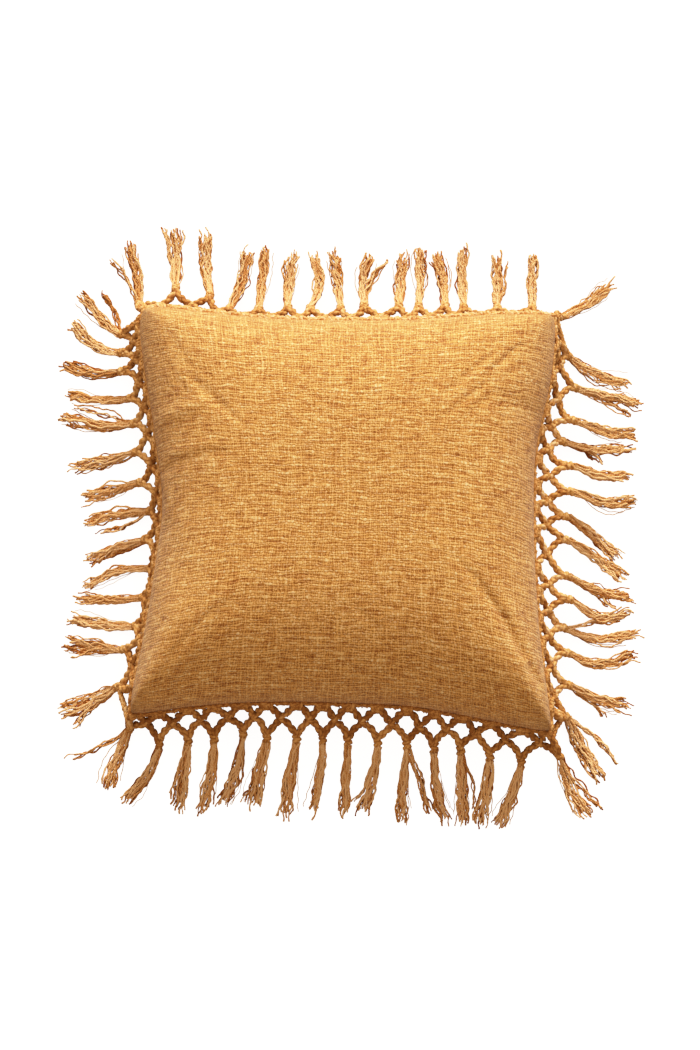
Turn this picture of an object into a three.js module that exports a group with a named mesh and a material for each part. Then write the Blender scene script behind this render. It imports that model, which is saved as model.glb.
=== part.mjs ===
// A square throw cushion of slub-woven cotton, lying on its back, with an open knotted net and a row of
// tassels hung from the seam on all four sides.
// Millimetres. X runs to the right, Y away from the viewer, Z up. The origin is the middle of the flat
// spot on which the cushion rests.
import * as THREE from 'three';

// The filled cushion.
const SEAM_HEIGHT = 56; // height of the seam midway along a side
const CORNER_DROP = 12; // how much lower the seam runs at a corner
const DROP_SHARPNESS = 4; // a higher power keeps that drop nearer the corner
const CROWN_RISE = 80; // middle of the face above the seam
const BACK_FULLNESS = 68; // back below the seam, before the surface flattens it
// How flat the crown stays towards each seam: a higher power gives a flatter face and a steeper side. The
// filling lies nearer the far side, so the far slope is short and the near one long.
const FLATNESS = { far: 3.3, near: 2.9, sidesAtFar: 2.2, sidesAtNear: 4.4 };
const CROWN_ROUNDNESS = 0.54; // a lower power gives fuller sides
const RIDGE_SHARPNESS = 6; // a higher power gives a sharper ridge from the crown to each corner
const CORNER_PINCH = 0.02; // share by which a corner is drawn in and rounded
const SOFT_CORNER = 0.02; // and how much more at the left far corner, the softest
const CORNER_SHARPNESS = 16; // a higher power keeps the rounding nearer the corner
const GRID = 24; // facets across the face and along it
const EDGE_FINENESS = 0.3; // share by which the facets crowd towards the seam

// The drawn-in outline: how far the seam lies from the middle at seven even steps along each side, from
// left to right or from near to far.
const SEAM_OUT = {
  far: [229, 217, 209, 207, 208, 214, 218],
  near: [213, 203, 199, 200, 204, 217, 232],
  left: [228, 212, 200, 192, 200, 212, 223],
  right: [216, 204, 198, 196, 199, 215, 224],
};

// Soft folds in the face: the two ends of each, how wide it is, and how far it stands up or sinks in.
const FOLDS = [
  { x1: -212, y1: 88, x2: -150, y2: 104, wide: 14, rise: 4 },
  { x1: -204, y1: 76, x2: -196, y2: 40, wide: 18, rise: -6 },
  { x1: -192, y1: -22, x2: -165, y2: -92, wide: 28, rise: -4 },
  { x1: 214, y1: 96, x2: 150, y2: 112, wide: 20, rise: -3 },
];
const FOLD_SOFTNESS = 2.5; // a lower number makes each fold fade out more widely
const FOLD_FADE = 0.6; // share of its height that a fold loses by its second end
const FOLD_RELEASE = 1.6; // how soon folds grow to their full height away from the seam

// The net: three rows of knots, a half step apart, in cord.
const SEAM_GAP = 0.7; // clearance between the seam and the header cord
const HEADER = { wide: 3, thick: 3 }; // header cord along the seam
const CORD_THICK = 4;
const NET_DEPTH = 38; // from the seam to the tassel heads, measured down the net
const NET_SAG = 7; // how far the net hangs in between them where it lies level
const GREATEST_DROP = 33; // furthest that the heads hang below the seam
const LEAST_DROP = 7.6; // the same for a net drawn out nearly flat, as at a corner
const MIDDLE_ROW = 0.56; // place of the middle knots down the net
// A knot's half width, how far its shoulders and points lie from its middle, and its thickness. A knot at
// the hem is measured down from the seam, and hardly stands out behind, where the cushion is.
const KNOT = { halfWide: 4.4, shoulder: 2.5, point: 6.5, thick: 9 };
const HEM_KNOT = { long: 7, point: 10.5, thick: 8, behind: 1 };
const HEAD = { below: 5, thick: 8 }; // wrapped head of a tassel, under its upper point
const SEAM_END = 8; // nearest that a knot comes to the seam's corner

// A tassel is a few locks of yarn, spreading from its head and lying level at their ends.
const LOCKS = 4;
const LOCK_STEPS = [0.2, 0.4, 0.6, 0.8, 1];
const LOCK_HEIGHT = { head: 5, middle: 5.5, tip: 4 };
const LOCK_SHARE = 0.84; // share of its pitch that a lock fills, so the locks stay apart
const LOCK_WIDEST = 4.4;
const LOCK_TIPS = [-3, 2, -1, 3]; // how much further each lock reaches
const LOCK_SIDES = 3;
const SPREAD = { by: 0.7, power: 0.8 }; // share of its length by which a tassel is full width, and how fast
const TOUCHDOWN = 0.72; // share of the tassel's length at which it meets the surface
const BEND = { least: -0.5, most: 1.5 }; // how far a tassel's line from head to surface may curve

// Tassels of each side, from left to right or from near to far. The head's place along the side and its
// distance out from the middle, the same for the tip, the sideways bow halfway, and the width at the tip.
const TASSELS = {
  far: [
    { at: -220, out: 238, tipAt: -231, tipOut: 303, bow: 3, wide: 17 },
    { at: -181, out: 251, tipAt: -188, tipOut: 320, bow: 2, wide: 20 },
    { at: -145, out: 243, tipAt: -150, tipOut: 316, bow: -2, wide: 14 },
    { at: -124, out: 231, tipAt: -106, tipOut: 295, bow: 3, wide: 13 },
    { at: -93, out: 230, tipAt: -87, tipOut: 297, bow: 0, wide: 15 },
    { at: -62, out: 231, tipAt: -57, tipOut: 292, bow: -1, wide: 15 },
    { at: -38, out: 230, tipAt: -34, tipOut: 292, bow: 8, wide: 12 },
    { at: -6, out: 230, tipAt: -13, tipOut: 295, bow: 0, wide: 12 },
    { at: 19, out: 232, tipAt: 31, tipOut: 291, bow: -4, wide: 22 },
    { at: 56, out: 232, tipAt: 60, tipOut: 290, bow: 0, wide: 15 },
    { at: 77, out: 232, tipAt: 79, tipOut: 299, bow: 1, wide: 12 },
    { at: 105, out: 233, tipAt: 98, tipOut: 294, bow: 2, wide: 13 },
    { at: 125, out: 232, tipAt: 124, tipOut: 297, bow: -1, wide: 14 },
    { at: 161, out: 232, tipAt: 162, tipOut: 289, bow: 0, wide: 15 },
    { at: 198, out: 233, tipAt: 200, tipOut: 290, bow: 0, wide: 15 },
    { at: 229, out: 224, tipAt: 281, tipOut: 260, bow: 2, wide: 12 },
  ],
  near: [
    { at: -225, out: 219, tipAt: -249, tipOut: 279, bow: -2, wide: 16 },
    { at: -194, out: 237, tipAt: -228, tipOut: 291, bow: 4, wide: 14 },
    { at: -164, out: 234, tipAt: -173, tipOut: 302, bow: 0, wide: 14 },
    { at: -137, out: 232, tipAt: -149, tipOut: 300, bow: 2, wide: 13 },
    { at: -107, out: 226, tipAt: -127, tipOut: 293, bow: 2, wide: 16 },
    { at: -82, out: 232, tipAt: -94, tipOut: 296, bow: -2, wide: 20 },
    { at: -51, out: 233, tipAt: -62, tipOut: 304, bow: -2, wide: 16 },
    { at: -24, out: 235, tipAt: -34, tipOut: 300, bow: 1, wide: 13 },
    { at: 2, out: 237, tipAt: -3, tipOut: 304, bow: 0, wide: 11 },
    { at: 33, out: 238, tipAt: 19, tipOut: 301, bow: 2, wide: 13 },
    { at: 63, out: 242, tipAt: 66, tipOut: 306, bow: -2, wide: 22 },
    { at: 91, out: 245, tipAt: 103, tipOut: 313, bow: -3, wide: 16 },
    { at: 119, out: 245, tipAt: 121, tipOut: 314, bow: 1, wide: 14 },
    { at: 149, out: 251, tipAt: 139, tipOut: 315, bow: 1, wide: 14 },
    { at: 182, out: 256, tipAt: 160, tipOut: 317, bow: 1, wide: 14 },
    { at: 221, out: 248, tipAt: 250, tipOut: 307, bow: -3, wide: 20 },
  ],
  left: [
    { at: -176, out: 238, tipAt: -198, tipOut: 295, bow: -2, wide: 22 },
    { at: -137, out: 232, tipAt: -125, tipOut: 291, bow: 1, wide: 20 },
    { at: -112, out: 220, tipAt: -102, tipOut: 285, bow: -1, wide: 16 },
    { at: -82, out: 213, tipAt: -80, tipOut: 279, bow: 0, wide: 12 },
    { at: -51, out: 205, tipAt: -65, tipOut: 271, bow: 8, wide: 11 },
    { at: -20, out: 211, tipAt: -38, tipOut: 268, bow: 3, wide: 13 },
    { at: 11, out: 206, tipAt: 1, tipOut: 272, bow: 5, wide: 12 },
    { at: 41, out: 216, tipAt: 30, tipOut: 274, bow: 1, wide: 14 },
    { at: 74, out: 221, tipAt: 63, tipOut: 284, bow: -1, wide: 14 },
    { at: 105, out: 224, tipAt: 116, tipOut: 297, bow: -3, wide: 13 },
    { at: 133, out: 228, tipAt: 140, tipOut: 294, bow: -1, wide: 12 },
    { at: 162, out: 237, tipAt: 173, tipOut: 299, bow: -3, wide: 14 },
    { at: 183, out: 238, tipAt: 215, tipOut: 289, bow: -5, wide: 14 },
    { at: 204, out: 238, tipAt: 248, tipOut: 281, bow: -2, wide: 14 },
  ],
  right: [
    { at: -207, out: 229, tipAt: -268, tipOut: 265, bow: -2, wide: 18 },
    { at: -175, out: 231, tipAt: -193, tipOut: 292, bow: -2, wide: 14 },
    { at: -142, out: 230, tipAt: -140, tipOut: 300, bow: -8, wide: 13 },
    { at: -115, out: 226, tipAt: -117, tipOut: 301, bow: -7, wide: 12 },
    { at: -87, out: 232, tipAt: -94, tipOut: 295, bow: -9, wide: 12 },
    { at: -61, out: 229, tipAt: -77, tipOut: 295, bow: -3, wide: 11 },
    { at: -23, out: 229, tipAt: -57, tipOut: 291, bow: 3, wide: 14 },
    { at: 2, out: 229, tipAt: -34, tipOut: 284, bow: 3, wide: 12 },
    { at: 27, out: 233, tipAt: 25, tipOut: 302, bow: -3, wide: 13 },
    { at: 55, out: 234, tipAt: 53, tipOut: 296, bow: -2, wide: 12 },
    { at: 85, out: 228, tipAt: 82, tipOut: 295, bow: -2, wide: 9 },
    { at: 107, out: 238, tipAt: 97, tipOut: 302, bow: -1, wide: 12 },
    { at: 144, out: 241, tipAt: 131, tipOut: 309, bow: 2, wide: 12 },
    { at: 181, out: 235, tipAt: 153, tipOut: 296, bow: -3, wide: 16 },
  ],
};

const SIDES = {
  far: { along: new THREE.Vector3(1, 0, 0), out: new THREE.Vector3(0, 1, 0) },
  near: { along: new THREE.Vector3(1, 0, 0), out: new THREE.Vector3(0, -1, 0) },
  left: { along: new THREE.Vector3(0, 1, 0), out: new THREE.Vector3(-1, 0, 0) },
  right: { along: new THREE.Vector3(0, 1, 0), out: new THREE.Vector3(1, 0, 0) },
};
const UP = new THREE.Vector3(0, 0, 1);

const CLOTH = new THREE.MeshStandardMaterial({ color: 0xd39c4f, roughness: 0.95, metalness: 0 });
const YARN = new THREE.MeshStandardMaterial({ color: 0xc98b42, roughness: 0.9, metalness: 0 });

const lerp = THREE.MathUtils.lerp;

// The value at share t, from -1 to 1, of a smooth curve through evenly spaced values.
function smoothAlong(values, t) {
  const last = values.length - 1;
  const place = THREE.MathUtils.clamp(((t + 1) / 2) * last, 0, last);
  const i = Math.min(Math.floor(place), last - 1);
  const s = place - i;
  const before = i > 0 ? values[i - 1] : 2 * values[0] - values[1];
  const after = i + 2 <= last ? values[i + 2] : 2 * values[last] - values[last - 1];
  const startSlope = (values[i + 1] - before) / 2;
  const endSlope = (after - values[i]) / 2;
  const rise = values[i + 1] - values[i];
  return values[i] + s * (startSlope + s * (3 * rise - 2 * startSlope - endSlope
    + s * (startSlope + endSlope - 2 * rise)));
}

const first = (values) => values[0];
const last = (values) => values[values.length - 1];

// A point of the cushion's plan, from shares u and v of the way from the middle to the seam. The four
// sides are blended, so rows and columns follow the drawn-in outline.
function plan(shareX, shareY) {
  const softer = (SOFT_CORNER * (1 - shareX) * (1 + shareY)) / 4;
  const pinch = 1 - (CORNER_PINCH + softer) * Math.abs(shareX * shareY) ** CORNER_SHARPNESS;
  const u = shareX * pinch;
  const v = shareY * pinch;
  const toRight = (u + 1) / 2;
  const toFar = (v + 1) / 2;
  const { far, near, left, right } = SEAM_OUT;
  const nearX = lerp(-first(left), first(right), toRight);
  const farX = lerp(-last(left), last(right), toRight);
  const leftY = lerp(-first(near), first(far), toFar);
  const rightY = lerp(-last(near), last(far), toFar);
  const sideX = lerp(-smoothAlong(left, v), smoothAlong(right, v), toRight);
  const sideY = lerp(-smoothAlong(near, u), smoothAlong(far, u), toFar);
  const cornersX = lerp(nearX, farX, toFar);
  const cornersY = lerp(leftY, rightY, toRight);
  const leftX = lerp(-first(left), -last(left), toFar);
  const rightX = lerp(first(right), last(right), toFar);
  const nearY = lerp(-first(near), -last(near), toRight);
  const farY = lerp(first(far), last(far), toRight);
  const straightX = lerp(leftX, rightX, toRight);
  const straightY = lerp(nearY, farY, toFar);
  return { x: sideX + cornersX - straightX, y: sideY + cornersY - straightY };
}

function seamHeight(u, v) {
  return SEAM_HEIGHT - CORNER_DROP * Math.abs(u * v) ** DROP_SHARPNESS;
}

// How full the cushion is at a place, from 0 at the seam to 1: the lesser of its two slopes, which meet in
// a ridge that runs to each corner.
function fullness(u, v) {
  const sides = lerp(FLATNESS.sidesAtNear, FLATNESS.sidesAtFar, THREE.MathUtils.smoothstep(v, 0, 1));
  const ends = v > 0 ? FLATNESS.far : FLATNESS.near;
  const across = (1 - Math.min(1, Math.abs(u)) ** sides) ** CROWN_ROUNDNESS;
  const along = (1 - Math.min(1, Math.abs(v)) ** ends) ** CROWN_ROUNDNESS;
  const both = (across ** RIDGE_SHARPNESS + along ** RIDGE_SHARPNESS) / 2;
  return both > 0 ? (across * along) / both ** (1 / RIDGE_SHARPNESS) : 0;
}

function foldRise(x, y) {
  let sum = 0;
  for (const fold of FOLDS) {
    const dx = fold.x2 - fold.x1;
    const dy = fold.y2 - fold.y1;
    const length = Math.hypot(dx, dy);
    const s = THREE.MathUtils.clamp(((x - fold.x1) * dx + (y - fold.y1) * dy) / length ** 2, 0, 1);
    const away = Math.hypot(x - fold.x1 - s * dx, y - fold.y1 - s * dy) / fold.wide;
    sum += fold.rise * Math.exp(-FOLD_SOFTNESS * away * away) * (1 - FOLD_FADE * s);
  }
  return sum;
}

function faceHeight(u, v) {
  const { x, y } = plan(u, v);
  const full = fullness(u, v);
  return seamHeight(u, v) + CROWN_RISE * full + foldRise(x, y) * Math.min(1, FOLD_RELEASE * full);
}

function backHeight(u, v) {
  return Math.max(0, seamHeight(u, v) - BACK_FULLNESS * fullness(u, v));
}

function geometryOf(points, faces) {
  const geometry = new THREE.BufferGeometry();
  geometry.setAttribute('position', new THREE.BufferAttribute(new Float32Array(points.flat()), 3));
  geometry.setIndex(faces.flat());
  geometry.computeVertexNormals();
  return geometry;
}

// The filled cushion: a face and a back over the same grid, joined at the seam.
function cushionGeometry() {
  const points = [];
  const faces = [];
  const share = (i) => {
    const s = (2 * i) / GRID - 1;
    return s * (1 + EDGE_FINENESS - EDGE_FINENESS * s * s);
  };
  const onSeam = (i, j) => i === 0 || j === 0 || i === GRID || j === GRID;
  const sheet = (height, seam) => {
    const index = [];
    for (let j = 0; j <= GRID; j += 1) {
      for (let i = 0; i <= GRID; i += 1) {
        if (seam && onSeam(i, j)) {
          index.push(seam[j * (GRID + 1) + i]);
          continue;
        }
        const { x, y } = plan(share(i), share(j));
        index.push(points.length);
        points.push([x, y, height(share(i), share(j))]);
      }
    }
    return index;
  };
  const face = sheet(faceHeight, null);
  const back = sheet(backHeight, face);
  const quad = (a, b, c, d, split) => {
    faces.push(...(split ? [[a, b, c], [a, c, d]] : [[a, b, d], [b, c, d]]));
  };
  for (let j = 0; j < GRID; j += 1) {
    for (let i = 0; i < GRID; i += 1) {
      const a = j * (GRID + 1) + i;
      const corners = [a, a + 1, a + GRID + 2, a + GRID + 1];
      const split = (i < GRID / 2) === (j < GRID / 2);
      const [p, q, r, s] = corners;
      quad(face[p], face[q], face[r], face[s], split);
      quad(back[q], back[p], back[s], back[r], !split);
    }
  }
  return geometryOf(points, faces);
}

// Where a side's cords leave the seam: a point just outside it, and its height. Near a corner the point
// stays on the side.
function hemPoint(side, at, aside = 0) {
  const { far, near, left, right } = SEAM_OUT;
  const [start, end] = {
    far: [-last(left), last(right)],
    near: [-first(left), first(right)],
    left: [-first(near), first(far)],
    right: [-last(near), last(far)],
  }[side];
  const kept = THREE.MathUtils.clamp(at, start + SEAM_END, end - SEAM_END) + aside;
  const share = (2 * (kept - start)) / (end - start) - 1;
  const [u, v] = { far: [share, 1], near: [share, -1], left: [-1, share], right: [1, share] }[side];
  const { x, y } = plan(u, v);
  return new THREE.Vector3(x, y, seamHeight(u, v)).addScaledVector(SIDES[side].out, SEAM_GAP);
}

// The run of cords from the seam to one place between tassels, given as a whole or half number of
// tassels: its direction down the net, its length, and a function that gives points of the sagging net.
function fall(side, index) {
  const rows = TASSELS[side];
  const i = Math.min(Math.floor(index), rows.length - 1);
  const j = Math.min(i + 1, rows.length - 1);
  const s = index - i;
  const { along, out } = SIDES[side];
  const at = lerp(rows[i].at, rows[j].at, s);
  const top = hemPoint(side, at);
  const foot = along.clone().multiplyScalar(at).addScaledVector(out, lerp(rows[i].out, rows[j].out, s));
  const flat = Math.hypot(foot.x - top.x, foot.y - top.y);
  const drop = Math.min(GREATEST_DROP, Math.sqrt(Math.max(0, NET_DEPTH ** 2 - flat ** 2)));
  foot.z = top.z - Math.max(drop, LEAST_DROP);
  const down = foot.clone().sub(top);
  const length = down.length();
  down.normalize();
  const outward = new THREE.Vector3().crossVectors(along, down).normalize();
  if (outward.dot(UP) < 0) outward.negate();
  const deepest = (NET_SAG * flat) / length;
  const place = (across, downBy, lift = 0) => {
    const sag = deepest * Math.sin(Math.PI * THREE.MathUtils.clamp(downBy / length, 0, 1));
    return top.clone().addScaledVector(along, across).addScaledVector(down, downBy)
      .addScaledVector(outward, lift - sag);
  };
  return { at, down, length, place };
}

// One side's net and tassels as a single skin. Knots are rings of points with a raised middle on each
// face, and cords and locks are strips from ring to ring.
function trimGeometry(side) {
  const rows = TASSELS[side];
  const points = [];
  const faces = [];
  const point = (p) => {
    points.push([p.x, p.y, p.z]);
    return points.length - 1;
  };
  const quad = (a, b, c, d) => faces.push([a, b, c], [a, c, d]);

  // The pair of points above and below the net at one place of a fall.
  const pair = (run, across, down, thick, behind = thick / 2) => ({
    upper: point(run.place(across, down, thick / 2)),
    lower: point(run.place(across, down, -behind)),
  });
  const knot = (run, ring, middleDown, thick, behind) => {
    const middle = pair(run, 0, middleDown, thick, behind);
    ring.forEach((a, k) => {
      const b = ring[(k + 1) % ring.length];
      faces.push([middle.upper, a.upper, b.upper], [middle.lower, b.lower, a.lower]);
    });
  };
  const wall = (a, b) => quad(b.upper, a.upper, a.lower, b.lower);
  const strip = (a, b, c, d) => {
    quad(b.upper, a.upper, d.upper, c.upper);
    quad(c.lower, d.lower, a.lower, b.lower);
    quad(d.upper, a.upper, a.lower, d.lower);
    quad(b.upper, c.upper, c.lower, b.lower);
  };

  // A pair of points of the header cord, at its inner or its outer face.
  const headerPair = (run, aside, outBy) => {
    const middle = hemPoint(side, run.at, aside).addScaledVector(SIDES[side].out, outBy);
    return {
      upper: point(middle.clone().addScaledVector(UP, HEADER.thick / 2)),
      lower: point(middle.clone().addScaledVector(UP, -HEADER.thick / 2)),
    };
  };

  const hemRings = rows.map((row, i) => {
    const run = fall(side, i);
    const { halfWide } = KNOT;
    const ring = [
      headerPair(run, -halfWide, HEADER.wide),
      headerPair(run, halfWide, HEADER.wide),
      pair(run, halfWide, HEM_KNOT.long, CORD_THICK),
      pair(run, 0, HEM_KNOT.point, CORD_THICK),
      pair(run, -halfWide, HEM_KNOT.long, CORD_THICK),
    ];
    knot(run, ring, (HEADER.wide + HEM_KNOT.long) / 2, HEM_KNOT.thick, HEM_KNOT.behind);
    wall(ring[1], ring[2]);
    wall(ring[4], ring[0]);
    return ring;
  });

  // The header cord, from one edge of each knot to the other and on to the next knot.
  const headerTop = rows.map((row, i) => {
    const run = fall(side, i);
    return [headerPair(run, -KNOT.halfWide, 0), headerPair(run, KNOT.halfWide, 0)];
  });
  const headerPiece = (topA, topB, lowB, lowA, open) => {
    quad(topA.upper, topB.upper, lowB.upper, lowA.upper);
    quad(lowA.lower, lowB.lower, topB.lower, topA.lower);
    wall(topA, topB);
    if (open) wall(lowB, lowA);
  };
  rows.forEach((row, i) => {
    headerPiece(headerTop[i][0], headerTop[i][1], hemRings[i][1], hemRings[i][0], false);
    if (i + 1 < rows.length) {
      headerPiece(headerTop[i][1], headerTop[i + 1][0], hemRings[i + 1][0], hemRings[i][1], true);
    }
  });
  wall(hemRings[0][0], headerTop[0][0]);
  wall(last(headerTop)[1], last(hemRings)[1]);

  const middleRings = rows.slice(1).map((row, i) => {
    const run = fall(side, i + 0.5);
    const centre = run.length * MIDDLE_ROW;
    const { halfWide, shoulder, point: tip } = KNOT;
    const ring = [
      [-halfWide, -shoulder], [0, -tip], [halfWide, -shoulder],
      [halfWide, shoulder], [0, tip], [-halfWide, shoulder],
    ].map(([across, down]) => pair(run, across, centre + down, CORD_THICK));
    knot(run, ring, centre, KNOT.thick);
    wall(ring[2], ring[3]);
    wall(ring[5], ring[0]);
    return ring;
  });

  const headRings = rows.map((row, i) => {
    const run = fall(side, i);
    const { halfWide, shoulder, point: tip } = KNOT;
    const ring = [[-halfWide, -shoulder], [0, -tip], [halfWide, -shoulder]]
      .map(([across, down]) => pair(run, across, run.length + down, CORD_THICK));
    for (let k = 0; k <= LOCKS; k += 1) {
      ring.push(pair(run, halfWide * (1 - (2 * k) / LOCKS), run.length + HEAD.below, LOCK_HEIGHT.head));
    }
    knot(run, ring, run.length, HEAD.thick);
    wall(ring[2], ring[3]);
    wall(last(ring), ring[0]);
    return ring;
  });

  // Cords: each knot of the middle row ties two cords from the seam to two that go on to the heads. The
  // outermost cord of each end runs straight down.
  middleRings.forEach((ring, i) => {
    strip(hemRings[i][2], hemRings[i][3], ring[0], ring[1]);
    strip(hemRings[i + 1][3], hemRings[i + 1][4], ring[1], ring[2]);
    strip(ring[4], ring[5], headRings[i][1], headRings[i][2]);
    strip(ring[3], ring[4], headRings[i + 1][0], headRings[i + 1][1]);
  });
  strip(hemRings[0][3], hemRings[0][4], headRings[0][0], headRings[0][1]);
  strip(last(hemRings)[2], last(hemRings)[3], last(headRings)[1], last(headRings)[2]);

  rows.forEach((row, i) => locks(side, row, fall(side, i), headRings[i].slice(3), point, faces));
  orientOutwards(points, faces);
  return geometryOf(points, faces);
}

// The locks of one tassel, three-sided, each from its share of the head's lower edge.
function locks(side, row, run, roots, point, faces) {
  const { along, out } = SIDES[side];
  const start = run.place(0, run.length + HEAD.below);
  const tip = along.clone().multiplyScalar(row.tipAt).addScaledVector(out, row.tipOut);
  const way = new THREE.Vector3(tip.x - start.x, tip.y - start.y, 0);
  const reach = way.length();
  way.normalize();
  const across = new THREE.Vector3(-way.y, way.x, 0);
  if (across.dot(along) < 0) across.negate();
  const slope = -run.down.z / Math.hypot(run.down.x, run.down.y);
  const lift = start.z - LOCK_HEIGHT.head / 2;
  const bend = THREE.MathUtils.clamp(2 - (TOUCHDOWN * reach * slope) / lift, BEND.least, BEND.most);
  const baseHeight = (t) => {
    const s = Math.min(1, t / TOUCHDOWN);
    return lift * (1 - s) ** 2 * (1 + bend * s);
  };
  for (let k = 0; k < LOCKS; k += 1) {
    const place = (LOCKS - 1) / 2 - k;
    const rings = LOCK_STEPS.map((t) => {
      const spread = Math.min(1, t / SPREAD.by) ** SPREAD.power;
      const pitch = lerp(2 * KNOT.halfWide, row.wide, spread) / LOCKS;
      const half = Math.min(pitch * LOCK_SHARE, LOCK_WIDEST) / 2;
      const tall = t < 0.5 ? lerp(LOCK_HEIGHT.head, LOCK_HEIGHT.middle, 2 * t)
        : lerp(LOCK_HEIGHT.middle, LOCK_HEIGHT.tip, 2 * t - 1);
      const centre = start.clone().addScaledVector(way, reach * t + LOCK_TIPS[k] * t)
        .addScaledVector(across, row.bow * Math.sin(Math.PI * t) + place * pitch);
      centre.z = baseHeight(t);
      return [
        point(centre.clone().addScaledVector(UP, tall)),
        point(centre.clone().addScaledVector(across, half)),
        point(centre.clone().addScaledVector(across, -half)),
      ];
    });
    const a = roots[k];
    const b = roots[k + 1];
    const [top, right, left] = rings[0];
    faces.push([b.upper, a.upper, top], [a.upper, a.lower, right], [a.upper, right, top]);
    faces.push([a.lower, b.lower, left], [a.lower, left, right]);
    faces.push([b.lower, b.upper, top], [b.lower, top, left]);
    for (let r = 1; r < rings.length; r += 1) {
      for (let c = 0; c < LOCK_SIDES; c += 1) {
        const d = (c + 1) % LOCK_SIDES;
        faces.push([rings[r - 1][c], rings[r - 1][d], rings[r][d]]);
        faces.push([rings[r - 1][c], rings[r][d], rings[r][c]]);
      }
    }
    faces.push([...last(rings)]);
  }
}

function orientOutwards(points, faces) {
  let volume = 0;
  for (const [a, b, c] of faces) {
    const [p, q, r] = [points[a], points[b], points[c]];
    volume += p[0] * (q[1] * r[2] - q[2] * r[1]) + p[1] * (q[2] * r[0] - q[0] * r[2])
      + p[2] * (q[0] * r[1] - q[1] * r[0]);
  }
  if (volume < 0) faces.forEach((face) => face.reverse());
}

const group = new THREE.Group();

function add(name, geometry, material) {
  const mesh = new THREE.Mesh(geometry, material);
  mesh.name = name;
  group.add(mesh);
}

add('cushion', cushionGeometry(), CLOTH);
for (const side of Object.keys(SIDES)) {
  add(`trim_${side}`, trimGeometry(side), YARN);
}

export default group;
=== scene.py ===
import math

import bpy
import numpy as np
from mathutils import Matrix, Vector


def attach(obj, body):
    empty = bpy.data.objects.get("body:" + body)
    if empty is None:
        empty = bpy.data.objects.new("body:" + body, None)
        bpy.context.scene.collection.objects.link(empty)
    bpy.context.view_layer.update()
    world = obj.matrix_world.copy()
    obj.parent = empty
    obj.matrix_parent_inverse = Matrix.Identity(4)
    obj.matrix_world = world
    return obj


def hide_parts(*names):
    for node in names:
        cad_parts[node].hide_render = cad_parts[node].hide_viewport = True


# A throw cushion of slub-woven cotton on its back, with a knotted net and tassels along its seam.
# The tables are in millimetres, as the part's own are; meshes are made in metres.
MM = 0.001
SEED = 41

# The filled cushion: the same driving sizes as the solid's.
PANEL = 444.0  # each square panel between its seams, before it is filled
SEAM_HEIGHT = 56.0
CORNER_DROP = 12.0  # how much lower the seam is at its corners
DROP_SHARPNESS = 4
CROWN_RISE = 80.0
BACK_FULLNESS = 68.0
# How flat the crown stays towards each seam: a higher power gives a flatter face and a steeper side.
FLATNESS = {"far": 3.3, "near": 2.9, "sides_at_far": 2.2, "sides_at_near": 4.4}
CROWN_ROUNDNESS = 0.54
RIDGE_SHARPNESS = 6
CORNER_PINCH = 0.02  # share by which the corners are drawn in
SOFT_CORNER = 0.02  # and the left far one besides
CORNER_SHARPNESS = 16
EDGE_FINENESS = 0.2  # how much the grid crowds towards the seams
COVER_GRID = 96  # cells across the simulated panel, half of the finished one's
SETTLE_FRAMES = 20
MOST_SETTLED = 6.0  # furthest that the simulation may move a point
# The cotton in that simulation: light, hard to stretch, easy to bend, and held out by its filling.
COTTON = {
    "quality": 6,
    "mass": 0.15,
    "air_damping": 4.0,
    "tension_stiffness": 25,
    "compression_stiffness": 25,
    "shear_stiffness": 8,
    "bending_stiffness": 0.4,
    "use_pressure": True,
    "uniform_pressure_force": 4.0,
}
SEAM_OUT = {
    "far": [229, 217, 209, 207, 208, 214, 218],
    "near": [213, 203, 199, 200, 204, 217, 232],
    "left": [228, 212, 200, 192, 200, 212, 223],
    "right": [216, 204, 198, 196, 199, 215, 224],
}
# Soft folds in the face: two ends, width, and how far each stands up or sinks in. They fade out to
# both sides and towards their second end, and grow to full height away from the seam.
FOLD_SOFTNESS = 2.5
FOLD_FADE = 0.6
FOLD_RELEASE = 1.6
FOLDS = [
    (-212, 88, -150, 104, 14, 4),
    (-204, 76, -196, 40, 18, -6),
    (-192, -22, -165, -92, 28, -4),
    (214, 96, 150, 112, 20, -3),
]
# Narrow creases, too fine for the solid: the same again.
CREASES = [
    (-196, 40, -128, 50, 8, -1.6),
    (-196, 52, -140, 60, 8, 1.4),
    (148, -102, 164, -122, 6, -2.4),
    (164, -122, 178, -158, 9, -1.8),
    (170, -112, 190, -160, 12, 1.6),
    (13, -117, 31, -134, 6, -1.6),
    (31, -134, 92, -141, 6, -0.8),
]

# The net: three rows of knots, a half step apart.
SEAM_GAP = 0.7
NET_DEPTH = 38.0
GREATEST_DROP = 33.0
LEAST_DROP = 7.6
NET_SAG = 7.0
MIDDLE_ROW = 0.5  # share of the way down the net
SEAM_END = 8.0  # no cord leaves the seam nearer to its corners
KNOT_HALF_WIDE = 5.3
KNOT_HALF_LONG = 4.8
KNOT_CORD = 1.7
WRAP_THICK = (1.8, 2.15)
# Where the cords are hitched over the hem they lie side by side, drawn together towards the net.
HITCH_DOWN = 6.0
HITCH_LONG = 8.4
HITCH_HALF_WIDE = {"at_hem": 6.0, "at_net": 3.4}
HITCH_STRANDS = 5
# A cord of the net: how many singles, how far they lie from its middle, and how long a turn is.
CORD_STRANDS = 2
CORD_SPREAD = 1.75
STRAND_RADIUS = 2.6
CORD_TURN = 17.0
CORD_BEND = 0.27  # share of its span over which it turns out of a knot
# How far the hem cord stands out from the seam, which the cloth bulges over at the sides, and how
# thick its strands are.
HEM_OUT = {"far": 0.8, "near": 0.8, "left": -0.5, "right": -0.5}
HEM_THICK = {"far": 2.4, "near": 1.5, "left": 1.4, "right": 1.5}
HEM_TURN = 8.0
HEM_LOOPS = 90  # frayed loops along each side
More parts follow.
